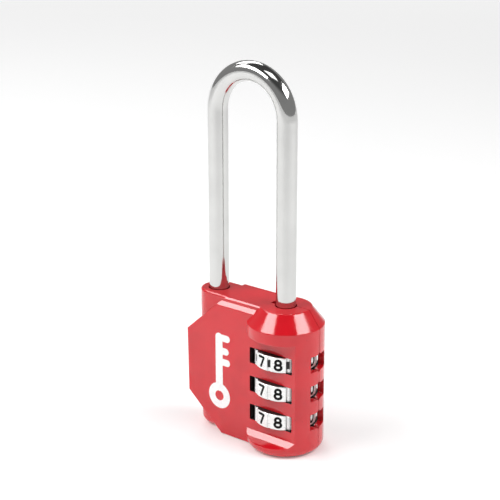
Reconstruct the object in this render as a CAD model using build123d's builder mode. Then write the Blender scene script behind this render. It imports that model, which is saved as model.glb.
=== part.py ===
from build123d import *
import os

# Three-dial combination padlock with a long shackle. Millimetres, +Z up.
# Origin: the dial axis on the underside of the dial housing. The shackle's long leg runs down the dial
# axis (x = 0, y = 0), its short leg stands at x = -leg_spacing, and the dial windows face -Y.

# ---- driving dimensions -------------------------------------------------------------------------------
# shackle
rod_d = 5.0
leg_spacing = 21.2
lock_height = 95.9
toe_depth = 6.4
toe_chamfer = 0.6

# casing, outside
casing_height = 36.95
seam_y = 1.0
neck_half_depth = 4.6
neck_top_round = 0.5
neck_floor_round = 2.3
front_face_y = -6.0
rear_face_y = 5.7
plate_overhang = 0.95
plate_left_lean = 0.25
front_plate_top_drop = 2.05
front_plate_bevel = 0.95
front_shelf_chamfer = 0.3
plate_top_corner = (9.55, 8.7)
plate_foot_corner = (10.8, 9.3)
rear_top_corner = (9.5, 8.9)
plate_edge_round = 0.3
rear_plate_chamfer = 0.35

# dial housing
housing_r = 9.65
shoulder_top_r = 6.4
shoulder_drop = 4.15
shoulder_round = 0.35
foot_round = 2.2
panel_foot_z = 4.15
panel_top_gap = 3.05
panel_foot_slope = 0.2
panel_foot_bevel = 1.2
panel_rim_round = 0.4

# dials
dial_count = 3
digit_count = 10
dial_mid_z = 16.53
dial_pitch = 7.62
dial_across_flats = 15.25
dial_over_corners = 15.55
dial_thickness = 3.95
dial_edge_chamfer = 0.2
index_angle = 6.0
notch_r = 0.5
notch_depth = 0.45
slot_height = 4.17
window_width = 13.1
window_corner_r = 0.3
side_window_width = 6.4
index_round = 1.0
index_notch_share = 0.75

# clutch sleeves inside the dials
sleeve_r = 5.0
sleeve_flange_height = 5.6
sleeve_chamber_r = 4.3
clutch_rib_height = 0.5
clutch_rib_width = 0.9
clutch_rib_length = 1.3
clutch_band_z = 0.3

# lug pins in the long leg
lug_d = 1.5
lug_reach = 3.7
stop_lug_reach = 4.1
lug_depth_in_rod = 1.2
keyway_width = 1.9

# springs and small parts
floor_thickness = 1.2
leg_tail = 1.1
sleeve_wire_d = 0.5
lift_spring_turns = 3.5
lift_wire_d = 0.4
lift_spring_mean_r = 1.9
spring_cap_thickness = 0.5
sleeve_spring_turns = 3.5
sleeve_spring_mean_r = 4.6
thrust_washer_thickness = 0.5
detent_leaf_thickness = 0.2
detent_leaf_height = 2.6
detent_leaf_half_span = 2.5
detent_nose_r = 0.3
detent_setback = 0.8
detent_bow = 0.25
detent_shoulder = 0.9
locating_pin_d = 2.0
locating_pin_front = 4.0
locating_pin_rear = 2.4

# clearances
running_gap = 0.05
rod_gap = 0.06
mouth_gap = 0.25
dial_radial_gap = 0.22
sleeve_end_gap = 0.05
lug_slot_gap = 0.15
spring_end_gap = 0.05
seat_gap = 0.02
seam_groove_width = 0.16
seam_groove_depth = 0.16
cut_margin = 1.0

# ---- sizes worked out from the driving dimensions ------------------------------------------------------
rod_r = rod_d / 2
bow_r = leg_spacing / 2
bow_z = lock_height - bow_r - rod_r
dial_levels = [dial_mid_z + (1 - k) * dial_pitch for k in range(dial_count)]
dial_names = ["top", "middle", "bottom"]
dial_cavity_r = dial_over_corners / 2 + dial_radial_gap
lug_levels = [z - dial_pitch / 2 for z in dial_levels]
sleeve_length = dial_pitch - 2 * sleeve_end_gap
sleeve_bore_r = sleeve_r + running_gap
leg_end_z = lug_levels[-1] - leg_tail
lug_chamber_top_z = dial_levels[0] + dial_pitch / 2 + lug_d / 2 + lug_slot_gap
sleeve_stack_top_z = dial_levels[0] + sleeve_length / 2 + sleeve_end_gap
washer_top_z = dial_levels[-1] - sleeve_length / 2
washer_foot_z = washer_top_z - thrust_washer_thickness
toe_hole_floor_z = casing_height - toe_depth - rod_gap
plate_left_x = -leg_spacing - neck_half_depth - plate_overhang
shoulder_z = casing_height - shoulder_drop
panel_top_z = shoulder_z - panel_top_gap
notch_angle = index_angle + 180 / digit_count
detent_angle = notch_angle + 4 * 360 / digit_count
detent_seat_r = dial_cavity_r + detent_setback
notch_centre_r = dial_over_corners / 2 - notch_depth + notch_r
clutch_r = sleeve_r + clutch_rib_height
dial_relief_r = clutch_r + running_gap
cut_reach = 2 * housing_r
locating_pin_places = [
    (-leg_spacing - 1.2, 24.5),
    (-leg_spacing - 0.5, 12.0),
    (-leg_spacing + 7.0, 33.0),
    (-leg_spacing + 8.0, 6.0),
]

os.makedirs("parts", exist_ok=True)


def write(built, name):
    """Label a finished piece and write its STEP file."""
    built.part.label = name
    export_step(built.part, f"parts/{name}.step")


# ---- casing: the painted body, made whole and then parted at the seam ----------------------------------
# neck between the legs: a slot shape as deep as the toe leg's boss
with BuildPart() as neck:
    with BuildSketch(Plane.XY):
        with Locations((-leg_spacing / 2, 0)):
            SlotCenterToCenter(leg_spacing, 2 * neck_half_depth)
    extrude(amount=casing_height)
    fillet(neck.faces().sort_by(Axis.Z)[-1].edges(), neck_top_round)
    fillet(neck.faces().sort_by(Axis.Z)[0].edges(), neck_floor_round)

# drum around the dials, with a conical shoulder and a rounded foot
with BuildPart() as drum:
    with BuildSketch(Plane.XZ) as drum_profile:
        with BuildLine():
            Polyline(
                (0, 0),
                (housing_r, 0),
                (housing_r, shoulder_z),
                (shoulder_top_r, casing_height),
                (0, casing_height),
                close=True,
            )
        make_face()
        corners = drum_profile.vertices().group_by(Axis.X)
        fillet(corners[-1].sort_by(Axis.Y)[0], foot_round)
        fillet(drum_profile.vertices().filter_by(lambda v: abs(v.X - shoulder_top_r) < seat_gap), shoulder_round)
        fillet(drum_profile.vertices().filter_by(lambda v: abs(v.Y - shoulder_z) < seat_gap), shoulder_round)
    revolve(axis=Axis.Z)


def plate_outline(level_z, corner):
    """Half octagon in X and Z that runs under the drum: its right end is hidden inside the drum.

    Its slanted top edge passes level_z at corner[0] from the left side and goes on up to the casing's top.
    """
    left = plate_left_x
    top_z = casing_height
    slant = corner[0] / corner[1]
    return [
        (0, 0),
        (0, top_z),
        (left + corner[0] + slant * (top_z - level_z), top_z),
        (left - plate_left_lean, level_z - corner[1]),
        (left, plate_foot_corner[1]),
        (left + plate_foot_corner[0], 0),
    ]


with BuildPart() as front_plate:
    plate_top_z = casing_height - front_plate_top_drop
    shelf_y = front_face_y + front_plate_bevel
    with BuildSketch(Plane.XZ):
        Polygon(*plate_outline(plate_top_z, plate_top_corner), align=None)
    extrude(amount=-front_face_y)
    # the plate's top: a chamfered shelf level with the casing's top, a short wall under it and a bevel
    with BuildSketch(Plane.YZ.offset(plate_left_x)):
        Polygon(
            (shelf_y + front_shelf_chamfer + cut_margin, casing_height + cut_margin),
            (shelf_y, casing_height - front_shelf_chamfer),
            (shelf_y, plate_top_z + front_plate_bevel),
            (front_face_y, plate_top_z),
            (front_face_y - cut_margin, plate_top_z),
            (front_face_y - cut_margin, casing_height + cut_margin),
            align=None,
        )
    extrude(amount=-plate_left_x, mode=Mode.SUBTRACT)
    front_edges = front_plate.faces().sort_by(Axis.Y)[0].edges()
    fillet(front_edges.sort_by(Axis.X)[:-1], plate_edge_round)

with BuildPart() as rear_plate:
    with BuildSketch(Plane.XZ):
        Polygon(*plate_outline(casing_height, rear_top_corner), align=None)
    extrude(amount=-rear_face_y)
    rear_edges = rear_plate.faces().sort_by(Axis.Y)[-1].edges()
    chamfer(rear_edges.sort_by(Axis.X)[:-1], rear_plate_chamfer)


def panel_cut(face_y, side):
    """Cutter that flattens the drum at face_y: a level ledge at its top, a bevel and a ledge at its foot."""
    outer_y = side * cut_reach
    bevel_y = face_y + side * panel_foot_bevel
    bevel_z = panel_foot_z - panel_foot_bevel
    with BuildPart() as cutter:
        with BuildSketch(Plane.YZ.offset(-housing_r - cut_margin)):
            Polygon(
                (face_y, panel_foot_z),
                (face_y, panel_top_z),
                (outer_y, panel_top_z),
                (outer_y, bevel_z - panel_foot_slope * abs(outer_y - bevel_y)),
                (bevel_y, bevel_z),
                align=None,
            )
        extrude(amount=2 * (housing_r + cut_margin))
    return cutter.part


front_panel_cut = panel_cut(front_face_y, -1)
rear_panel_cut = panel_cut(rear_face_y, 1)

# the drum with its panels, whose top ledges are rounded at the rim
with BuildPart() as housing:
    add(drum.part)
    add(front_panel_cut, mode=Mode.SUBTRACT)
    add(rear_panel_cut, mode=Mode.SUBTRACT)
    top_rims = housing.edges().filter_by(GeomType.CIRCLE)
    top_rims = top_rims.filter_by_position(Axis.Z, panel_top_z - running_gap, panel_top_z + running_gap)
    fillet(top_rims, panel_rim_round)

# thin groove that shows the seam down the free side of the drum
with BuildPart() as seam_groove:
    with BuildSketch(Plane.XZ.offset(-seam_y)) as groove_band:
        add(drum_profile.sketch.faces()[0])
        offset(groove_band.sketch, amount=-seam_groove_depth, mode=Mode.SUBTRACT)
        with Locations((rod_r, casing_height / 2)):
            Rectangle(housing_r, 2 * casing_height, align=(Align.MIN, Align.CENTER), mode=Mode.INTERSECT)
    extrude(amount=seam_groove_width / 2, both=True)

with BuildPart() as casing:
    add(neck.part)
    add(housing.part)
    add(front_plate.part)
    add(rear_plate.part)
    add(front_panel_cut, mode=Mode.SUBTRACT)
    add(rear_panel_cut, mode=Mode.SUBTRACT)
    # dial cavities and their windows
    for level in dial_levels:
        with BuildSketch(Plane.XY.offset(level - slot_height / 2)):
            Circle(dial_cavity_r)
        extrude(amount=slot_height, mode=Mode.SUBTRACT)
        with BuildSketch(Plane.XZ):
            with Locations((0, level)):
                RectangleRounded(window_width, slot_height, window_corner_r)
        extrude(amount=cut_reach, both=True, mode=Mode.SUBTRACT)
        # side window; the casing's corners are rounded at the seam, which makes the index notches
        with BuildSketch(Plane.YZ.offset(dial_cavity_r - cut_margin)):
            rim_z = slot_height / 2
            with Locations((seam_y, level)):
                RectangleRounded(side_window_width, slot_height, window_corner_r)
                Rectangle(2 * index_round, slot_height + 2 * index_notch_share * index_round)
            for side_y in (-1, 1):
                for side_z in (-1, 1):
                    corner = (seam_y + side_y * index_round, level + side_z * (rim_z + index_round))
                    with Locations(corner):
                        Circle(index_round, mode=Mode.SUBTRACT)
        extrude(amount=cut_reach, mode=Mode.SUBTRACT)
    # sleeve bore, lug chamber and the two shackle holes
    with BuildSketch(Plane.XY.offset(floor_thickness)):
        Circle(sleeve_bore_r)
    extrude(amount=sleeve_stack_top_z - floor_thickness, mode=Mode.SUBTRACT)
    with BuildSketch(Plane.XY.offset(sleeve_stack_top_z)):
        Circle(sleeve_chamber_r)
    extrude(amount=lug_chamber_top_z - sleeve_stack_top_z, mode=Mode.SUBTRACT)
    with BuildSketch(Plane.XY.offset(lug_chamber_top_z)):
        Circle(rod_r + mouth_gap)
        with Locations((-(lug_reach + mouth_gap) / 2, 0)):
            Rectangle(lug_reach + mouth_gap, keyway_width)
    extrude(amount=casing_height - lug_chamber_top_z, mode=Mode.SUBTRACT)
    with BuildSketch(Plane.XY.offset(toe_hole_floor_z)):
        with Locations((-leg_spacing, 0)):
            Circle(rod_r + mouth_gap)
    extrude(amount=casing_height - toe_hole_floor_z, mode=Mode.SUBTRACT)
    # pockets for the detent leaves, beside each dial
    pocket_width = 2 * detent_leaf_half_span + 4 * running_gap
    for level in dial_levels:
        pocket = Plane((0, 0, level - detent_leaf_height / 2 - running_gap)).rotated((0, 0, detent_angle))
        with BuildSketch(pocket):
            with Locations((detent_seat_r, 0)):
                Rectangle(2 * detent_setback, pocket_width, align=(Align.MAX, Align.CENTER))
        extrude(amount=detent_leaf_height + 2 * running_gap, mode=Mode.SUBTRACT)
    # blind holes for the locating pins
    with BuildSketch(Plane.XZ.offset(-seam_y - locating_pin_rear)):
        with Locations(*locating_pin_places):
            Circle(locating_pin_d / 2)
    extrude(amount=locating_pin_front + locating_pin_rear, mode=Mode.SUBTRACT)
    add(seam_groove.part, mode=Mode.SUBTRACT)

seam_plane = Plane.XZ.offset(-seam_y)

with BuildPart() as front_casing:
    add(casing.part)
    split(bisect_by=seam_plane, keep=Keep.TOP)
write(front_casing, "front_casing")

with BuildPart() as rear_casing:
    add(casing.part)
    split(bisect_by=seam_plane, keep=Keep.BOTTOM)
write(rear_casing, "rear_casing")

# steel pins that locate and hold the two halves, blind in both
with BuildPart() as locating_pins:
    with BuildSketch(Plane.XZ.offset(-seam_y - locating_pin_rear)):
        with Locations(*locating_pin_places):
            Circle(locating_pin_d / 2)
    extrude(amount=locating_pin_front + locating_pin_rear)
write(locating_pins, "locating_pins")

# ---- shackle and its lug pins --------------------------------------------------------------------------
lug_reaches = [lug_reach] * (dial_count - 1) + [stop_lug_reach]
with BuildPart() as shackle:
    with BuildSketch(Plane.XY.offset(leg_end_z)):
        Circle(rod_r)
    extrude(amount=bow_z - leg_end_z)
    chamfer(shackle.faces().sort_by(Axis.Z)[0].edges(), toe_chamfer / 2)
    with BuildSketch(Plane.XY.offset(bow_z)):
        Circle(rod_r)
    revolve(axis=Axis((-bow_r, 0, bow_z), (0, -1, 0)), revolution_arc=180)
    with BuildSketch(Plane.XY.offset(casing_height - toe_depth)):
        with Locations((-leg_spacing, 0)):
            Circle(rod_r)
    extrude(amount=bow_z - casing_height + toe_depth)
    chamfer(shackle.faces().filter_by(Plane.XY).sort_by(Axis.X)[0].edges(), toe_chamfer)
    for level in lug_levels:
        with BuildSketch(Plane.YZ.offset(lug_depth_in_rod)):
            with Locations((0, level)):
                Circle(lug_d / 2)
        extrude(amount=-rod_d, mode=Mode.SUBTRACT)
write(shackle, "shackle")

for name, level, reach in zip(dial_names, lug_levels, lug_reaches):
    with BuildPart() as lug_pin:
        with BuildSketch(Plane.YZ.offset(lug_depth_in_rod)):
            with Locations((0, level)):
                Circle(lug_d / 2)
        extrude(amount=-lug_depth_in_rod - reach)
        chamfer(lug_pin.faces().sort_by(Axis.X)[0].edges(), lug_d / 6)
    write(lug_pin, f"lug_pin_{name}")

# ---- dials ---------------------------------------------------------------------------------------------
for name, level in zip(dial_names, dial_levels):
    with BuildPart() as dial:
        with BuildSketch(Plane.XY.offset(level - dial_thickness / 2)):
            Circle(dial_over_corners / 2)
            RegularPolygon(
                dial_across_flats / 2,
                digit_count,
                major_radius=False,
                rotation=index_angle + 180 / digit_count,
                mode=Mode.INTERSECT,
            )
            with PolarLocations(notch_centre_r, digit_count, start_angle=notch_angle):
                Circle(notch_r, mode=Mode.SUBTRACT)
        extrude(amount=dial_thickness)
        # turned rims: the disc keeps only what lies inside this chamfered blank
        with BuildSketch(Plane.XZ, mode=Mode.PRIVATE) as blank:
            with Locations((0, level)):
                Rectangle(dial_over_corners, dial_thickness)
            chamfer(blank.vertices(), dial_edge_chamfer)
            with Locations((-dial_over_corners, level)):
                Rectangle(2 * dial_over_corners, 2 * dial_thickness, mode=Mode.SUBTRACT)
        revolve(blank.sketch, axis=Axis.Z, mode=Mode.INTERSECT)
        # bore that runs on the sleeve, keyed over its upper half for the clutch ribs
        with BuildSketch(Plane.XY.offset(level - dial_thickness / 2)):
            Circle(sleeve_bore_r)
        extrude(amount=dial_thickness, mode=Mode.SUBTRACT)
        with BuildSketch(Plane.XY.offset(level - dial_thickness / 2)):
            Circle(dial_relief_r)
        extrude(amount=dial_thickness / 2 + clutch_band_z - running_gap, mode=Mode.SUBTRACT)
        with BuildSketch(Plane.XY.offset(level)):
            with PolarLocations(sleeve_r, digit_count, start_angle=index_angle):
                Rectangle(2 * (clutch_rib_height + running_gap), clutch_rib_width + 2 * running_gap)
        extrude(amount=dial_thickness, mode=Mode.SUBTRACT)
    write(dial, f"dial_{name}")

# ---- clutch sleeves ------------------------------------------------------------------------------------
for name, level, reach in zip(dial_names, dial_levels, lug_reaches):
    with BuildPart() as sleeve:
        with BuildSketch(Plane.XY.offset(level - sleeve_length / 2)):
            Circle(sleeve_r)
            Circle(sleeve_chamber_r, mode=Mode.SUBTRACT)
        extrude(amount=sleeve_length)
        with BuildSketch(Plane.XY.offset(level - sleeve_flange_height / 2)):
            Circle(sleeve_r)
            Circle(rod_r + rod_gap, mode=Mode.SUBTRACT)
        extrude(amount=sleeve_flange_height)
        # slot that the lug passes through when its digit stands at the seam
        slot_reach = reach + lug_slot_gap
        with BuildSketch(Plane.XY.offset(level - sleeve_flange_height / 2)):
            with Locations((-slot_reach / 2, 0)):
                Rectangle(slot_reach, lug_d + 2 * lug_slot_gap)
        extrude(amount=sleeve_flange_height, mode=Mode.SUBTRACT)
        with BuildSketch(Plane.XY.offset(level + clutch_band_z)):
            with PolarLocations(sleeve_r - clutch_rib_height / 2, digit_count, start_angle=index_angle):
                Rectangle(3 * clutch_rib_height - 2 * running_gap, clutch_rib_width)
            Circle(sleeve_r - running_gap, mode=Mode.SUBTRACT)
        extrude(amount=clutch_rib_length)
    write(sleeve, f"clutch_sleeve_{name}")

# ---- detent leaves: bowed strips that hold the dials at their digits -----------------------------------
for name, level in zip(dial_names, dial_levels):
    nose_u = dial_over_corners / 2 - notch_depth + running_gap + detent_leaf_thickness / 2 + detent_nose_r
    back_u = detent_seat_r - detent_leaf_thickness / 2 - seat_gap
    leaf_plane = Plane((0, 0, level - detent_leaf_height / 2)).rotated((0, 0, detent_angle))
    with BuildPart() as leaf:
        with BuildSketch(leaf_plane):
            with BuildLine():
                Polyline(
                    (back_u, -detent_leaf_half_span),
                    (back_u - detent_bow, -detent_shoulder),
                    (nose_u, -detent_nose_r),
                )
                ThreePointArc(
                    (nose_u, -detent_nose_r),
                    (nose_u - detent_nose_r, 0),
                    (nose_u, detent_nose_r),
                )
                Polyline(
                    (nose_u, detent_nose_r),
                    (back_u - detent_bow, detent_shoulder),
                    (back_u, detent_leaf_half_span),
                )
            trace(line_width=detent_leaf_thickness)
        extrude(amount=detent_leaf_height)
    write(leaf, f"detent_leaf_{name}")

# ---- springs, cap and washer under the dials -----------------------------------------------------------


def coil_spring(mean_r, wire_d, foot_z, top_z, turns):
    """Round-wire coil between foot_z and top_z, its ends ground flat."""
    height = top_z - foot_z
    rise = (height - wire_d / 2) / turns
    with BuildPart() as spring:
        with BuildLine() as coil:
            Helix(pitch=rise, height=rise * turns, radius=mean_r, center=(0, 0, foot_z + wire_d / 8))
        with BuildSketch(Plane(coil.line @ 0, z_dir=coil.line % 0)):
            Circle(wire_d / 2)
        sweep(path=coil.line, is_frenet=True)
        with Locations((0, 0, (foot_z + top_z) / 2)):
            Cylinder(mean_r + wire_d, height, mode=Mode.INTERSECT)
    return spring


lift_cap_top_z = leg_end_z - seat_gap
lift_cap_foot_z = lift_cap_top_z - spring_cap_thickness
with BuildPart() as lift_spring_cap:
    with BuildSketch(Plane.XY.offset(lift_cap_foot_z)):
        Circle(rod_r - running_gap)
    extrude(amount=spring_cap_thickness)
write(lift_spring_cap, "lift_spring_cap")

write(
    coil_spring(lift_spring_mean_r, lift_wire_d, floor_thickness, lift_cap_foot_z - seat_gap, lift_spring_turns),
    "lift_spring",
)

with BuildPart() as thrust_washer:
    with BuildSketch(Plane.XY.offset(washer_foot_z - seat_gap)):
        Circle(sleeve_r)
        Circle(sleeve_chamber_r, mode=Mode.SUBTRACT)
    extrude(amount=thrust_washer_thickness)
write(thrust_washer, "thrust_washer")

write(
    coil_spring(
        sleeve_spring_mean_r,
        sleeve_wire_d,
        floor_thickness,
        washer_foot_z - seat_gap - spring_end_gap,
        sleeve_spring_turns,
    ),
    "sleeve_spring",
)
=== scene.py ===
import math

import bmesh
import bpy
import numpy as np
from bpy.props import FloatProperty, FloatVectorProperty, PointerProperty
from mathutils import Matrix, Vector


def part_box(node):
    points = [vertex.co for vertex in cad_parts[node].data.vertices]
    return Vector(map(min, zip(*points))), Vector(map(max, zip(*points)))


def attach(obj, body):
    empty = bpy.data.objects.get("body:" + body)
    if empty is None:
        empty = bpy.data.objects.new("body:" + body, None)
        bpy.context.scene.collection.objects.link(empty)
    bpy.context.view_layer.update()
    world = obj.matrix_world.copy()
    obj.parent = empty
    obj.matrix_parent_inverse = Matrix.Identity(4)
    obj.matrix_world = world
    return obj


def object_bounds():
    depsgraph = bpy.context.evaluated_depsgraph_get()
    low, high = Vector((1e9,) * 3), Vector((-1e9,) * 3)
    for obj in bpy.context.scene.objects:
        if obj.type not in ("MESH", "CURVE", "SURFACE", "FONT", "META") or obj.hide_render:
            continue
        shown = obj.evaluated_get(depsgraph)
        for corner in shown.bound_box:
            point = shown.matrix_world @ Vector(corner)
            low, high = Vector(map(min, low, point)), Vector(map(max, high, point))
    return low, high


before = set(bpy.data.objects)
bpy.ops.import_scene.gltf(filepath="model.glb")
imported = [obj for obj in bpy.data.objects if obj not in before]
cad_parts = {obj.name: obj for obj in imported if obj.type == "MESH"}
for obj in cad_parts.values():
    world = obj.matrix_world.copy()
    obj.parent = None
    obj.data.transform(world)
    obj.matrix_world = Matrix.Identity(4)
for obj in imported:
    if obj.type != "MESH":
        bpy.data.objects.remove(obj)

bl_info = {
    "name": "Combination padlock finish",
    "version": (1, 0, 0),
    "blender": (4, 5, 0),
    "location": "3D View > Sidebar > Padlock",
    "description": "Enamel, plating, dial digits and a printed mark for a three-dial padlock, with its stage",
    "category": "Object",
}

MM = 0.001
CAD_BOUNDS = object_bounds()
DIAL_NAMES = ("top", "middle", "bottom")
DIGIT_COUNT = 10

# painted shade: the casing's walls are painted near black in the dial cavities, and in the windows' walls
# behind the panels, where shade falls
CAVITY_GAP = 0.35 * MM
CAVITY_HALF_DEPTH = 5.6 * MM
CAVITY_TOP_GAP = 0.5 * MM
WINDOW_HALF_WIDTH = 6.6 * MM
WINDOW_HALF_DEPTH = 5.75 * MM
WINDOW_MIDDLE_Y = -0.15 * MM
WINDOW_GAP = 0.14 * MM
# colour of the painted shade on the cavity and window walls
PAINTED_CAVITY_SHADE = (0.012, 0.006, 0.006, 1)

# share of each dial's height over which its grooves are darkened to the end colour, from the top dial down
GROOVE_DARK_SHARE = (0.5, 0.0, 0.0)
DARK_EDGE = 0.02 * MM

# soft lights: name, azimuth and elevation in degrees, distance, width and height in metres, share of power
SOFTBOXES = (
    ("left_softbox", -40, 45, 0.55, 0.50, 0.17, 1.0),
    ("right_softbox", 112, 45, 0.55, 0.42, 0.17, 1.0),
    ("back_softbox", -122, 46, 0.6, 0.4, 0.2, 0.4),
    ("top_softbox", 60, 80, 0.6, 0.3, 0.2, 0.25),
)


# ---- reading the frame ---------------------------------------------------------------------------------

def node_points(name):
    """All vertices of a CAD node as rows of x, y, z in metres."""
    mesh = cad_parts[name].data
    points = np.empty(len(mesh.vertices) * 3, np.float32)
    mesh.vertices.foreach_get("co", points)
    return points.reshape(-1, 3).astype(float)


def reach(name, direction):
    """How far a CAD node stands out along a direction: the largest dot product over its vertices."""
    return float((node_points(name) @ np.array(direction, float)).max())


def height_range(name):
    """Lowest and highest z of a CAD node."""
    low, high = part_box(name)
    return low.z, high.z


# ---- surfaces ------------------------------------------------------------------------------------------

def grid_faces(rows, columns, first=0):
    """Quads over a grid of vertices whose columns close on themselves."""
    row, column = np.meshgrid(np.arange(rows - 1), np.arange(columns), indexing="ij")
    after = (column + 1) % columns
    quads = np.stack([row * columns + column, row * columns + after,
                      (row + 1) * columns + after, (row + 1) * columns + column], axis=-1)
    return quads.reshape(-1, 4) + first


def mesh_object(name, points, faces):
    """A smooth mesh object at the origin from vertex rows and face index rows."""
    mesh = bpy.data.meshes.new(name)
    mesh.from_pydata(points.tolist(), [], [tuple(face) for face in faces])
    mesh.validate()
    mesh.shade_smooth()
    made = bpy.data.objects.new(name, mesh)
    bpy.context.scene.collection.objects.link(made)
    return made


def line(start, end, steps=6):
    """Points spaced evenly along a straight stroke."""
    share = np.linspace(0, 1, steps)[:, None]
    return (1 - share) * np.array(start, float) + share * np.array(end, float)


def arc(centre, radii, start_deg, end_deg, steps=28):
    """Points along an elliptic arc: centre plus radii times the cosine and sine of the angle."""
    angle = np.radians(np.linspace(start_deg, end_deg, steps))
    return np.array(centre, float) + np.stack([radii[0] * np.cos(angle), radii[1] * np.sin(angle)], axis=-1)


def loop(centre, radii, steps=44):
    """A closed ellipse, without its repeated last point."""
    return arc(centre, radii, 90, 450, steps + 1)[:-1]


def joined(*runs):
    """Several runs of points as one path, each shared point kept once."""
    return np.concatenate([runs[0]] + [run[1:] for run in runs[1:]])


def stroke_grid(path, closed, width, height, sides=16, cap_steps=7):
    """A paint stroke in the plane: a low rounded section carried along a path.

    The section is a superellipse, width wide and height high, whose power squares it off. Stations follow
    the path. An open stroke ends in half discs: past each end the section goes on by half a width while its
    own width falls as the square root of one less the squared share of that way.
    Returns vertex rows (across, up, out) and faces.
    """
    path = np.asarray(path, float)
    scale = np.ones(len(path))
    if closed:
        ahead = np.roll(path, -1, axis=0) - np.roll(path, 1, axis=0)
    else:
        ahead = np.gradient(path, axis=0)
        way = np.sin(np.linspace(0, np.pi / 2, cap_steps + 1))[1:]
        tips = np.sqrt(np.clip(1 - way ** 2, 0, 1))
        unit_start = ahead[0] / np.linalg.norm(ahead[0])
        unit_end = ahead[-1] / np.linalg.norm(ahead[-1])
        before = path[0] - unit_start * (way[::-1, None] * width / 2)
        after = path[-1] + unit_end * (way[:, None] * width / 2)
        path = np.concatenate([before, path, after])
        starts, ends = np.tile(unit_start, (cap_steps, 1)), np.tile(unit_end, (cap_steps, 1))
        ahead = np.concatenate([starts, ahead, ends])
        scale = np.concatenate([tips[::-1], scale, tips])
    ahead /= np.linalg.norm(ahead, axis=1, keepdims=True)
    sideways = np.stack([-ahead[:, 1], ahead[:, 0]], axis=-1)
    turn = np.linspace(0, 2 * np.pi, sides, endpoint=False)
    power = 0.55
    across = np.sign(np.cos(turn)) * np.abs(np.cos(turn)) ** power * width / 2
    out = np.sign(np.sin(turn)) * np.abs(np.sin(turn)) ** power * height
    flat = path[:, None, :] + sideways[:, None, :] * (across[None, :, None] * scale[:, None, None])
    lift = np.broadcast_to(out, flat.shape[:2]) * np.sqrt(np.maximum(scale, 1e-4))[:, None]
    points = np.concatenate([flat, lift[..., None]], axis=-1)
    rows = len(path)
    if closed:
        points = np.concatenate([points, points[:1]])
        faces = grid_faces(rows + 1, sides)
        faces[faces >= rows * sides] -= rows * sides
        return points[:-1].reshape(-1, 3), faces.tolist()
    faces = grid_faces(rows, sides).tolist()
    faces.append(list(range(sides))[::-1])
    faces.append(list(range((rows - 1) * sides, rows * sides)))
    return points.reshape(-1, 3), faces


def strokes_object(name, strokes, place):
    """One mesh of many strokes. Each stroke is (path, closed, width, height, key), and place(points, key)
    carries its rows (across, up, out) to their spot in the row frame."""
    all_points, all_faces, first = [], [], 0
    for path, closed, width, height, key in strokes:
        points, faces = stroke_grid(path, closed, width, height)
        all_points.append(place(points, key))
        all_faces += [[index + first for index in face] for face in faces]
        first += len(points)
    made = mesh_object(name, np.concatenate(all_points), all_faces)
    outward(made)
    return made


def outward(made):
    """Turn every face of a closed mesh outwards."""
    work = bmesh.new()
    work.from_mesh(made.data)
    bmesh.ops.remove_doubles(work, verts=work.verts, dist=1e-7)
    bmesh.ops.recalc_face_normals(work, faces=work.faces)
    work.to_mesh(made.data)
    work.free()


# ---- digits --------------------------------------------------------------------------------------------

def digit_strokes(digit, half_width, half_height):
    """Centre lines of a plain numeral as (path, closed) pairs in a box of the given half sizes."""
    w, h = half_width, half_height
    shapes = {
        0: [(loop((0, 0), (w, h)), True)],
        1: [(joined(line((-0.5 * w, 0.55 * h), (0.15 * w, h)), line((0.15 * w, h), (0.15 * w, -h))), False)],
        2: [(joined(arc((0, 0.42 * h), (w, 0.58 * h), 165, -38),
                    line((0.79 * w, 0.06 * h), (-w, -h))), False),
            (line((-w, -h), (w, -h)), False)],
        3: [(arc((-0.05 * w, 0.5 * h), (0.9 * w, 0.5 * h), 150, -90), False),
            (arc((-0.05 * w, -0.47 * h), (1.05 * w, 0.53 * h), 90, -150), False)],
        4: [(line((0.4 * w, -h), (0.4 * w, h)), False), (line((0.4 * w, h), (-w, -0.38 * h)), False),
            (line((-w, -0.38 * h), (w, -0.38 * h)), False)],
        5: [(line((0.8 * w, h), (-0.62 * w, h)), False), (line((-0.62 * w, h), (-0.78 * w, 0.08 * h)), False),
            (arc((0, -0.38 * h), (w, 0.62 * h), 138, -150), False)],
        6: [(loop((0, -0.4 * h), (w, 0.6 * h)), True),
            (arc((0.9 * w, -0.4 * h), (1.9 * w, 1.4 * h), 180, 104), False)],
        7: [(line((-w, h), (w, h)), False), (line((w, h), (-0.3 * w, -h)), False)],
        8: [(loop((0, 0.5 * h), (0.84 * w, 0.5 * h)), True), (loop((0, -0.47 * h), (w, 0.53 * h)), True)],
        9: [(loop((0, 0.4 * h), (w, 0.6 * h)), True),
            (arc((-0.9 * w, 0.4 * h), (1.9 * w, 1.4 * h), 0, -76), False)],
    }
    return shapes[digit]


# ---- shader building -----------------------------------------------------------------------------------

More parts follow.
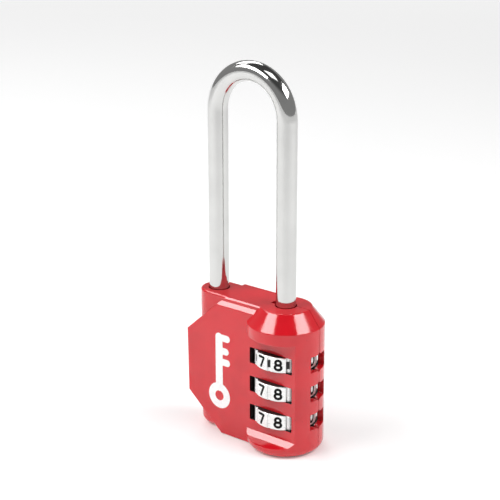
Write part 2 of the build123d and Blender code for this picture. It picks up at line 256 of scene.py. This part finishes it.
class Shader:
    """A material's node tree with short calls for the nodes that the finishes here share."""

    def __init__(self, name):
        self.material = bpy.data.materials.new(name)
        self.material.use_nodes = True
        self.tree = self.material.node_tree
        self.surface = self.tree.nodes["Principled BSDF"]
        self.place = self.tree.nodes.new("ShaderNodeTexCoord").outputs["Object"]

    def set(self, **values):
        """Set constants on the surface shader's own sockets, with _ for a space in their names."""
        for key, value in values.items():
            self.surface.inputs[key.replace("_", " ")].default_value = value
        return self

    def drive(self, socket, output):
        self.tree.links.new(output, self.surface.inputs[socket])

    def node(self, kind, sockets=(), **settings):
        made = self.tree.nodes.new(kind)
        for key, value in settings.items():
            setattr(made, key, value)
        for key, value in sockets:
            if isinstance(value, bpy.types.NodeSocket):
                self.tree.links.new(value, made.inputs[key])
            else:
                made.inputs[key].default_value = value
        return made

    def math(self, operation, a, b=0.0, c=0.0):
        made = self.node("ShaderNodeMath", [(0, a), (1, b), (2, c)], operation=operation)
        return made.outputs[0]

    def axes(self):
        """The x, y and z of the object coordinates."""
        return self.node("ShaderNodeSeparateXYZ", [("Vector", self.place)]).outputs

    def around(self):
        """Distance from the z axis."""
        x, y, _ = self.axes()
        return self.math("SQRT", self.math("ADD", self.math("MULTIPLY", x, x), self.math("MULTIPLY", y, y)))

    def noise(self, grain, detail=3.0, stretch=(1, 1, 1), rough=0.55):
        """Noise whose features are about grain metres across, stretched along an axis where asked."""
        scaled = self.node("ShaderNodeMapping", [("Vector", self.place), ("Scale", stretch)])
        made = self.node("ShaderNodeTexNoise", [("Vector", scaled.outputs[0]), ("Scale", 1 / grain),
                                                ("Detail", detail), ("Roughness", rough)])
        return made.outputs["Fac"]

    def cells(self, grain):
        """Distance to the nearest of points scattered about grain metres apart."""
        made = self.node("ShaderNodeTexVoronoi", [("Vector", self.place), ("Scale", 1 / grain)])
        return made.outputs["Distance"]

    def span(self, value, low, high, to_low=0.0, to_high=1.0):
        """value from low to high carried to to_low to to_high, and held there outside."""
        made = self.node("ShaderNodeMapRange", [("Value", value), ("From Min", low), ("From Max", high),
                                                ("To Min", to_low), ("To Max", to_high)],
                         interpolation_type="SMOOTHSTEP")
        return made.outputs[0]

    def mix(self, share, first, second):
        made = self.node("ShaderNodeMix", data_type="RGBA")
        for socket, value in zip((made.inputs[0], made.inputs[6], made.inputs[7]), (share, first, second)):
            if isinstance(value, bpy.types.NodeSocket):
                self.tree.links.new(value, socket)
            else:
                socket.default_value = value
        return made.outputs[2]

    def bump(self, height, depth, below=None):
        """Bump of a 0 to 1 height that stands for depth metres, on top of another bump where given."""
        made = self.node("ShaderNodeBump", [("Height", height), ("Distance", depth), ("Strength", 1.0)])
        if below is not None:
            self.tree.links.new(below, made.inputs["Normal"])
        return made.outputs[0]


def rgba(colour, factor=1.0):
    """A settings colour as four numbers, brightened or darkened by a factor."""
    return tuple(channel * factor for channel in colour[:3]) + (1.0,)


def give(material, *nodes):
    """Put a material into every slot of the named CAD nodes."""
    for name in nodes:
        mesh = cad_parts[name].data
        if len(mesh.materials) == 0:
            mesh.materials.append(material)
        for index in range(len(mesh.materials)):
            mesh.materials[index] = material


# ---- settings ------------------------------------------------------------------------------------------

class EnamelSettings(bpy.types.PropertyGroup):
    colour: FloatVectorProperty(
        name="Enamel", description="Colour of the casing's enamel", subtype="COLOR",
        default=(0.60, 0.008, 0.016), min=0, max=1)
    roughness: FloatProperty(
        name="Roughness", description="Roughness of the cured enamel", default=0.13, min=0, max=1,
        subtype="FACTOR")
    peel_size: FloatProperty(
        name="Peel size", description="Width of the soft waves in the enamel", default=1.4 * MM,
        unit="LENGTH", precision=5)
    peel_depth: FloatProperty(
        name="Peel depth", description="Height of the soft waves in the enamel", default=0.004 * MM,
        unit="LENGTH", precision=6)


class ShackleSettings(bpy.types.PropertyGroup):
    colour: FloatVectorProperty(
        name="Plating", description="Colour of the shackle's plating", subtype="COLOR",
        default=(0.60, 0.60, 0.59), min=0, max=1)
    roughness: FloatProperty(
        name="Roughness", description="Roughness of the plating", default=0.07, min=0, max=1,
        subtype="FACTOR")


class DialSettings(bpy.types.PropertyGroup):
    facet_colour: FloatVectorProperty(
        name="Facets", description="Colour of the dials' plated facets", subtype="COLOR",
        default=(0.84, 0.85, 0.84), min=0, max=1)
    end_colour: FloatVectorProperty(
        name="Ends", description="Colour of the dials' blackened end faces", subtype="COLOR",
        default=(0.012, 0.011, 0.011), min=0, max=1)
    digit_colour: FloatVectorProperty(
        name="Digits", description="Colour of the digits' paint", subtype="COLOR",
        default=(0.004, 0.004, 0.004), min=0, max=1)
    digit_height: FloatProperty(
        name="Digit height", description="Height of a digit", default=3.1 * MM, unit="LENGTH", precision=5)
    digit_width: FloatProperty(
        name="Digit width", description="Width of a digit", default=2.25 * MM, unit="LENGTH", precision=5)
    stroke_width: FloatProperty(
        name="Stroke", description="Width of a digit's strokes", default=0.66 * MM, unit="LENGTH",
        precision=5)
    paint_height: FloatProperty(
        name="Paint height", description="How far the paint stands out of its facet", default=0.02 * MM,
        unit="LENGTH", precision=6)
    index_angle: FloatProperty(
        name="Index angle", description="Angle of digit 0 from the x axis", default=math.radians(6),
        subtype="ANGLE")


class MarkSettings(bpy.types.PropertyGroup):
    colour: FloatVectorProperty(
        name="Ink", description="Colour of the printed mark", subtype="COLOR",
        default=(0.95, 0.94, 0.94), min=0, max=1)
    length: FloatProperty(
        name="Length", description="Height of the printed key mark", default=20.5 * MM, unit="LENGTH",
        precision=5)
    ink_height: FloatProperty(
        name="Ink height", description="Thickness of the ink", default=0.02 * MM, unit="LENGTH", precision=6)


class WorksSettings(bpy.types.PropertyGroup):
    brass: FloatVectorProperty(
        name="Brass", description="Colour of the clutch sleeves", subtype="COLOR",
        default=(0.72, 0.52, 0.24), min=0, max=1)
    spring_steel: FloatVectorProperty(
        name="Spring steel", description="Colour of the springs and detent leaves", subtype="COLOR",
        default=(0.42, 0.42, 0.43), min=0, max=1)
    pin_steel: FloatVectorProperty(
        name="Pin steel", description="Colour of the pins, cap and washer", subtype="COLOR",
        default=(0.55, 0.55, 0.56), min=0, max=1)


class StageSettings(bpy.types.PropertyGroup):
    azimuth: FloatProperty(
        name="Azimuth", description="Turn of the camera round the padlock", default=math.radians(39.08),
        subtype="ANGLE")
    elevation: FloatProperty(
        name="Elevation", description="Height angle of the camera", default=math.radians(18.70),
        subtype="ANGLE")
    roll: FloatProperty(
        name="Roll", description="Tilt of the camera about its own axis", default=math.radians(-0.09),
        subtype="ANGLE")
    distance: FloatProperty(
        name="Distance", description="Camera distance in heights of the padlock", default=3.692, min=1)
    aim: FloatVectorProperty(
        name="Aim", description="Where the camera looks, from the middle of the padlock's box",
        default=(-1.81 * MM, -0.94 * MM, 1.21 * MM), subtype="TRANSLATION", unit="LENGTH", precision=5)
    lens: FloatProperty(
        name="Lens", description="Focal length on a 36 mm sensor, in millimetres", default=104.16, min=1)
    floor_colour: FloatVectorProperty(
        name="Floor", description="Colour of the floor", subtype="COLOR", default=(0.86, 0.86, 0.86),
        min=0, max=1)
    floor_glow: FloatProperty(
        name="Floor glow", description="Light of the translucent floor itself", default=0.12, min=0)
    far_glow: FloatProperty(
        name="Far glow", description="Light of the floor away from the padlock", default=0.7, min=0)
    floor_size: FloatProperty(
        name="Floor size", description="Half the side of the floor", default=4.0, unit="LENGTH")
    softbox_power: FloatProperty(
        name="Softbox power", description="Radiance of the side softboxes", default=9.5, min=0)
    sky_level: FloatProperty(
        name="Room", description="Brightness of the room near the horizon", default=0.3, min=0)
    ceiling_level: FloatProperty(
        name="Ceiling", description="Brightness of the room overhead", default=0.07, min=0)


class PadlockSettings(bpy.types.PropertyGroup):
    enamel: PointerProperty(type=EnamelSettings, name="Enamel", description="Casing enamel")
    shackle: PointerProperty(type=ShackleSettings, name="Shackle", description="Shackle plating")
    dials: PointerProperty(type=DialSettings, name="Dials", description="Dials and digits")
    mark: PointerProperty(type=MarkSettings, name="Mark", description="Printed mark")
    works: PointerProperty(type=WorksSettings, name="Works", description="Inner pieces")
    stage: PointerProperty(type=StageSettings, name="Stage", description="Floor, lights and camera")


# ---- finishes ------------------------------------------------------------------------------------------

def enamel_material(settings):
    """Glossy baked enamel: soft waves and fine dust, and painted shade: the walls in the dial cavities and
    windows are painted near black.
    """
    s = Shader("red_enamel")
    x, y, z = s.axes()
    colour = s.mix(s.span(s.noise(9 * MM, 2), 0.35, 0.65),
                   rgba(settings.colour, 0.94), rgba(settings.colour, 1.05))
    # mask of the painted shade: inside the dial cavity, widened below by each dial's window slot
    cavity_r = reach("dial_middle", (math.cos(0.3), math.sin(0.3), 0)) + CAVITY_GAP
    inside = s.math("MULTIPLY", s.math("LESS_THAN", s.around(), cavity_r),
                    s.math("LESS_THAN", s.math("ABSOLUTE", y), CAVITY_HALF_DEPTH))
    top = height_range("dial_top")[1] + CAVITY_TOP_GAP
    inside = s.math("MULTIPLY", inside, s.math("LESS_THAN", z, top))
    deep = s.math("ABSOLUTE", s.math("ADD", y, -WINDOW_MIDDLE_Y))
    window = s.math("MULTIPLY", s.math("LESS_THAN", s.math("ABSOLUTE", x), WINDOW_HALF_WIDTH),
                    s.math("LESS_THAN", deep, WINDOW_HALF_DEPTH))
    for name in DIAL_NAMES:
        low, high = height_range("dial_" + name)
        level = s.math("ABSOLUTE", s.math("SUBTRACT", z, (low + high) / 2))
        slot = s.math("LESS_THAN", level, (high - low) / 2 + WINDOW_GAP)
        inside = s.math("MAXIMUM", inside, s.math("MULTIPLY", window, slot))
    specks = s.span(s.cells(2.2 * MM), 0.035, 0.05, 1, 0)
    colour = s.mix(s.math("MULTIPLY", specks, 0.6), colour, rgba(settings.colour, 0.35))
    # painted shade: the cavity and window walls take the near-black colour
    colour = s.mix(inside, colour, PAINTED_CAVITY_SHADE)
    s.drive("Base Color", colour)
    gloss = s.span(s.noise(3.5 * MM, 4), 0.3, 0.75, settings.roughness * 0.75, settings.roughness * 1.35)
    s.drive("Roughness", s.math("ADD", gloss, s.math("MULTIPLY", inside, 0.4)))
    waves = s.bump(s.noise(settings.peel_size, 2), settings.peel_depth)
    dust = s.bump(s.span(s.cells(1.1 * MM), 0.0, 0.09, 1, 0), 0.003 * MM, waves)
    s.drive("Normal", dust)
    s.set(Coat_Weight=0.35, Coat_Roughness=0.04, IOR=1.5)
    return s.material


def plating_material(settings):
    """Bright plating over drawn rod: faint lengthwise draw lines, thin haze and a few fine scratches."""
    s = Shader("bright_plating")
    haze = s.span(s.noise(5 * MM, 4), 0.35, 0.7, settings.roughness * 0.8, settings.roughness * 1.5)
    lines = s.noise(0.25 * MM, 2, stretch=(1, 1, 0.02))
    s.drive("Roughness", s.math("ADD", haze, s.math("MULTIPLY", lines, 0.03)))
    tone = s.mix(s.span(s.noise(7 * MM, 3), 0.3, 0.7),
                 rgba(settings.colour, 0.96), rgba(settings.colour, 1.03))
    s.drive("Base Color", tone)
    draw = s.bump(lines, 0.0006 * MM)
    scuffs = s.bump(s.span(s.noise(0.5 * MM, 5, stretch=(0.3, 1, 1)), 0.66, 0.7), 0.0006 * MM, draw)
    s.drive("Normal", scuffs)
    s.set(Metallic=1.0)
    return s.material


def dial_material(name, settings, patch):
    """Satin plated facets with blackened end faces and the grooves darkened to the end colour.

    patch is the share of the dial's height over which its grooves are darkened.
    """
    s = Shader("dial_plating_" + name)
    low, high = height_range("dial_" + name)
    z = s.axes()[2]
    middle, half = (low + high) / 2, (high - low) / 2
    away = s.math("ABSOLUTE", s.math("SUBTRACT", z, middle))
    ends = s.math("GREATER_THAN", away, half - DARK_EDGE)
    # grooves darkened to the end colour, within the share patch of the dial's height round its middle
    groove = s.math("LESS_THAN", s.around(), facet_reach(name, settings) - DARK_EDGE)
    groove_height = s.math("LESS_THAN", away, half * patch)
    groove = s.math("MULTIPLY", groove, groove_height)
    dark = s.math("MAXIMUM", ends, groove)
    lines = s.noise(0.12 * MM, 3, stretch=(0.06, 0.06, 1))
    tone = s.mix(s.span(s.noise(1.8 * MM, 3), 0.3, 0.7), rgba(settings.facet_colour, 0.93),
                 rgba(settings.facet_colour, 1.05))
    s.drive("Base Color", s.mix(dark, tone, rgba(settings.end_colour)))
    s.drive("Metallic", s.math("SUBTRACT", 0.75, s.math("MULTIPLY", dark, 0.75)))
    s.drive("Roughness", s.math("ADD", s.span(lines, 0.3, 0.7, 0.26, 0.36), s.math("MULTIPLY", dark, 0.2)))
    s.drive("Normal", s.bump(lines, 0.0015 * MM))
    return s.material


def paint_material(name, colour, roughness, grain, specular=0.5):
    """Printed paint: uneven gloss, faint brush of thickness and tone."""
    s = Shader(name)
    s.set(Specular_IOR_Level=specular)
    s.drive("Base Color", s.mix(s.span(s.noise(grain, 3), 0.3, 0.7), rgba(colour, 0.93), rgba(colour, 1.04)))
    s.drive("Roughness", s.span(s.noise(grain * 0.7, 4), 0.3, 0.7, roughness * 0.8, roughness * 1.25))
    s.drive("Normal", s.bump(s.noise(grain * 0.4, 3), 0.002 * MM))
    return s.material


def turned_metal(name, colour, roughness, ring, stretch=(0.08, 0.08, 1)):
    """Machined metal: tool rings across the z axis, stained a little."""
    s = Shader(name)
    rings = s.noise(ring, 3, stretch=stretch)
    stain = s.span(s.noise(2.5 * MM, 4), 0.35, 0.75)
    s.drive("Base Color", s.mix(stain, rgba(colour, 1.05), rgba(colour, 0.72)))
    s.drive("Roughness", s.math("ADD", s.span(rings, 0.3, 0.7, roughness * 0.8, roughness * 1.3),
                                s.math("MULTIPLY", stain, 0.08)))
    s.drive("Normal", s.bump(rings, 0.004 * MM))
    s.set(Metallic=1.0)
    return s.material


def facet_reach(name, settings):
    """Distance of a dial's flat facets from its axis: its reach along the direction of digit 0."""
    return reach("dial_" + name, (math.cos(settings.index_angle), math.sin(settings.index_angle), 0))


# ---- operators -----------------------------------------------------------------------------------------

class PADLOCK_OT_enamel_casing(bpy.types.Operator):
    """Give both casing halves their enamel"""
    bl_idname = "padlock.enamel_casing"
    bl_label = "Enamel casing"

    def execute(self, context):
        give(enamel_material(context.scene.padlock.enamel), "front_casing", "rear_casing")
        return {"FINISHED"}


class PADLOCK_OT_plate_shackle(bpy.types.Operator):
    """Give the shackle its bright plating"""
    bl_idname = "padlock.plate_shackle"
    bl_label = "Plate shackle"

    def execute(self, context):
        give(plating_material(context.scene.padlock.shackle), "shackle")
        return {"FINISHED"}


class PADLOCK_OT_finish_dials(bpy.types.Operator):
    """Plate the dials and blacken their ends"""
    bl_idname = "padlock.finish_dials"
    bl_label = "Finish dials"

    def execute(self, context):
        settings = context.scene.padlock.dials
        for name, patch in zip(DIAL_NAMES, GROOVE_DARK_SHARE):
            give(dial_material(name, settings, patch), "dial_" + name)
        return {"FINISHED"}


class PADLOCK_OT_print_digits(bpy.types.Operator):
    """Paint the digits 0 to 9 on each dial's facets"""
    bl_idname = "padlock.print_digits"
    bl_label = "Print digits"

    def execute(self, context):
        settings = context.scene.padlock.dials
        paint = paint_material("digit_paint", settings.digit_colour, 0.55, 0.5 * MM, 0.15)
        half_width = (settings.digit_width - settings.stroke_width) / 2
        half_height = (settings.digit_height - settings.stroke_width) / 2
        for name in DIAL_NAMES:
            low, high = height_range("dial_" + name)
            middle, out = (low + high) / 2, facet_reach(name, settings)

            def place(points, digit):
                angle = settings.index_angle + digit * 2 * math.pi / DIGIT_COUNT
                radial = np.array([math.cos(angle), math.sin(angle), 0])
                tangent = np.array([-math.sin(angle), math.cos(angle), 0])
                across, up, lift = points.T
                return (np.outer(across, tangent) + np.outer(lift + out, radial)
                        + np.outer(up + middle, (0, 0, 1)))

            strokes = [(path, closed, settings.stroke_width, settings.paint_height, digit)
                       for digit in range(DIGIT_COUNT)
                       for path, closed in digit_strokes(digit, half_width, half_height)]
            made = strokes_object("digits_" + name, strokes, place)
            made.data.materials.append(paint)
            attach(made, "dial_" + name)
        return {"FINISHED"}


class PADLOCK_OT_print_mark(bpy.types.Operator):
    """Print a plain key sign on the front plate"""
    bl_idname = "padlock.print_mark"
    bl_label = "Print mark"

    def execute(self, context):
        settings = context.scene.padlock.mark
        points = node_points("front_casing")
        left = points[:, 0].min()
        plate = points[points[:, 0] < left + 8 * MM]
        face_y = plate[:, 1].min()
        axis_x = left + 10.6 * MM
        middle_z = 17.2 * MM
        half = settings.length / 2
        bow_r, bow_w, stem_w = 2.4 * MM, 2.1 * MM, 2.3 * MM
        bow_z = -half + bow_r + bow_w / 2
        strokes = [(loop((0, bow_z), (bow_r, bow_r)), True, bow_w)]
        stem_top = half - stem_w / 2
        strokes.append((line((0, bow_z + bow_r), (0, stem_top)), False, stem_w))
        for share, length in ((1.0, 2.6), (0.74, 2.2), (0.52, 2.6)):
            z = bow_z + bow_r + share * (stem_top - bow_z - bow_r)
            strokes.append((line((0, z), (length * MM, z)), False, stem_w * 0.8))

        def place(points, _):
            across, up, lift = points.T
            return np.stack([across + axis_x, face_y - lift, up + middle_z], axis=-1)

        made = strokes_object("key_mark", [(path, closed, width, settings.ink_height, None)
                                           for path, closed, width in strokes], place)
        made.data.materials.append(paint_material("white_ink", settings.colour, 0.35, 0.8 * MM))
        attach(made, "casing")
        return {"FINISHED"}


class PADLOCK_OT_finish_works(bpy.types.Operator):
    """Finish the sleeves, leaves, springs and pins inside"""
    bl_idname = "padlock.finish_works"
    bl_label = "Finish inner works"

    def execute(self, context):
        settings = context.scene.padlock.works
        give(turned_metal("turned_brass", settings.brass, 0.24, 0.15 * MM),
             *("clutch_sleeve_" + name for name in DIAL_NAMES))
        give(turned_metal("leaf_steel", settings.spring_steel, 0.22, 0.1 * MM, (1, 1, 0.1)),
             *("detent_leaf_" + name for name in DIAL_NAMES))
        give(turned_metal("spring_wire", settings.spring_steel, 0.2, 0.08 * MM, (0.3, 0.3, 1)),
             "lift_spring", "sleeve_spring")
        give(turned_metal("ground_steel", settings.pin_steel, 0.18, 0.06 * MM, (0.1, 1, 1)),
             "locating_pins", "thrust_washer", "lift_spring_cap", *("lug_pin_" + name for name in DIAL_NAMES))
        return {"FINISHED"}


def direction(azimuth, elevation):
    """Unit vector towards an azimuth and elevation; azimuth 0 is -Y, and positive turns to +X."""
    return Vector((math.sin(azimuth) * math.cos(elevation), -math.cos(azimuth) * math.cos(elevation),
                   math.sin(elevation)))


def softbox(name, target, azimuth_deg, elevation_deg, distance, width, height, radiance):
    """A rectangular soft light that looks at target and is unseen by the camera itself."""
    light = bpy.data.lights.new(name, "AREA")
    light.shape = "RECTANGLE"
    light.size, light.size_y = width, height
    light.energy = radiance * math.pi * width * height
    made = bpy.data.objects.new(name, light)
    bpy.context.scene.collection.objects.link(made)
    towards = direction(math.radians(azimuth_deg), math.radians(elevation_deg))
    made.location = target + towards * distance
    made.rotation_mode = "QUATERNION"
    made.rotation_quaternion = towards.to_track_quat("Z", "Y")
    made.visible_camera = False
    return made


class PADLOCK_OT_set_stage(bpy.types.Operator):
    """Lay the pale floor, hang the soft lights and set the camera"""
    bl_idname = "padlock.set_stage"
    bl_label = "Set stage"

    def execute(self, context):
        settings = context.scene.padlock.stage
        low, high = (Vector(corner) for corner in CAD_BOUNDS)
        centre, height = (low + high) / 2, high.z - low.z

        side = settings.floor_size
        corners = np.array([(-side, -side, low.z), (side, -side, low.z),
                            (side, side, low.z), (-side, side, low.z)])
        floor = mesh_object("floor", corners - np.array([0, 0, 0.01 * MM]), [(0, 1, 2, 3)])
        s = Shader("pale_floor")
        s.drive("Base Color", s.mix(s.noise(60 * MM, 3),
                                    rgba(settings.floor_colour, 0.99), rgba(settings.floor_colour)))
        s.drive("Emission Strength", s.span(s.around(), 0.15, 1.0, settings.floor_glow, settings.far_glow))
        s.set(Roughness=0.6, Emission_Color=(1, 1, 1, 1))
        floor.data.materials.append(s.material)

        for name, azimuth, elevation, distance, width, tall, share in SOFTBOXES:
            radiance = settings.softbox_power * share
            softbox(name, centre, azimuth, elevation, distance, width, tall, radiance)

        world = bpy.data.worlds.new("studio")
        context.scene.world = world
        world.use_nodes = True
        tree = world.node_tree
        place = tree.nodes.new("ShaderNodeTexCoord").outputs["Generated"]
        split = tree.nodes.new("ShaderNodeSeparateXYZ")
        ramp = tree.nodes.new("ShaderNodeMapRange")
        ramp.interpolation_type = "SMOOTHSTEP"
        tree.links.new(place, split.inputs[0])
        tree.links.new(split.outputs["Z"], ramp.inputs["Value"])
        for key, value in (("From Min", 0.45), ("From Max", 0.75), ("To Min", settings.sky_level),
                           ("To Max", settings.ceiling_level)):
            ramp.inputs[key].default_value = value
        tree.nodes["Background"].inputs["Color"].default_value = (1, 1, 1, 1)
        tree.links.new(ramp.outputs[0], tree.nodes["Background"].inputs["Strength"])

        camera = bpy.data.cameras.new("camera")
        camera.sensor_width = 36.0
        camera.lens = settings.lens
        camera.clip_start, camera.clip_end = 0.01, 20.0
        viewer = bpy.data.objects.new("camera", camera)
        context.scene.collection.objects.link(viewer)
        towards = direction(settings.azimuth, settings.elevation)
        aim = centre + Vector(settings.aim)
        turn = towards.to_track_quat("Z", "Y").to_matrix() @ Matrix.Rotation(settings.roll, 3, "Z")
        viewer.matrix_world = Matrix.Translation(aim + towards * settings.distance * height) @ turn.to_4x4()
        context.scene.camera = viewer
        context.scene.view_settings.view_transform = "Standard"
        return {"FINISHED"}


class PADLOCK_PT_finish(bpy.types.Panel):
    """Lists the padlock's finishing steps with their settings"""
    bl_idname = "PADLOCK_PT_finish"
    bl_label = "Padlock finish"
    bl_space_type = "VIEW_3D"
    bl_region_type = "UI"
    bl_category = "Padlock"

    def draw(self, context):
        settings = context.scene.padlock
        for step, group in STEPS:
            box = self.layout.box()
            box.operator(step.bl_idname)
            for name in group.__annotations__:
                box.prop(getattr(settings, GROUP_NAMES[group]), name)


SETTING_GROUPS = (EnamelSettings, ShackleSettings, DialSettings, MarkSettings, WorksSettings, StageSettings)
GROUP_NAMES = {
    EnamelSettings: "enamel", ShackleSettings: "shackle", DialSettings: "dials",
    MarkSettings: "mark", WorksSettings: "works", StageSettings: "stage",
}
STEPS = (
    (PADLOCK_OT_set_stage, StageSettings),
    (PADLOCK_OT_enamel_casing, EnamelSettings),
    (PADLOCK_OT_plate_shackle, ShackleSettings),
    (PADLOCK_OT_finish_dials, DialSettings),
    (PADLOCK_OT_print_digits, DialSettings),
    (PADLOCK_OT_print_mark, MarkSettings),
    (PADLOCK_OT_finish_works, WorksSettings),
)
CLASSES = SETTING_GROUPS + (PadlockSettings,) + tuple(step for step, _ in STEPS) + (PADLOCK_PT_finish,)


def register():
    for kind in CLASSES:
        bpy.utils.register_class(kind)
    bpy.types.Scene.padlock = PointerProperty(type=PadlockSettings)


def unregister():
    del bpy.types.Scene.padlock
    for kind in reversed(CLASSES):
        bpy.utils.unregister_class(kind)


def main():
    """Register everything and run the steps in order."""
    register()
    for step, _ in STEPS:
        group, name = step.bl_idname.split(".")
        getattr(getattr(bpy.ops, group), name)()


if __name__ == "__main__":
    main()
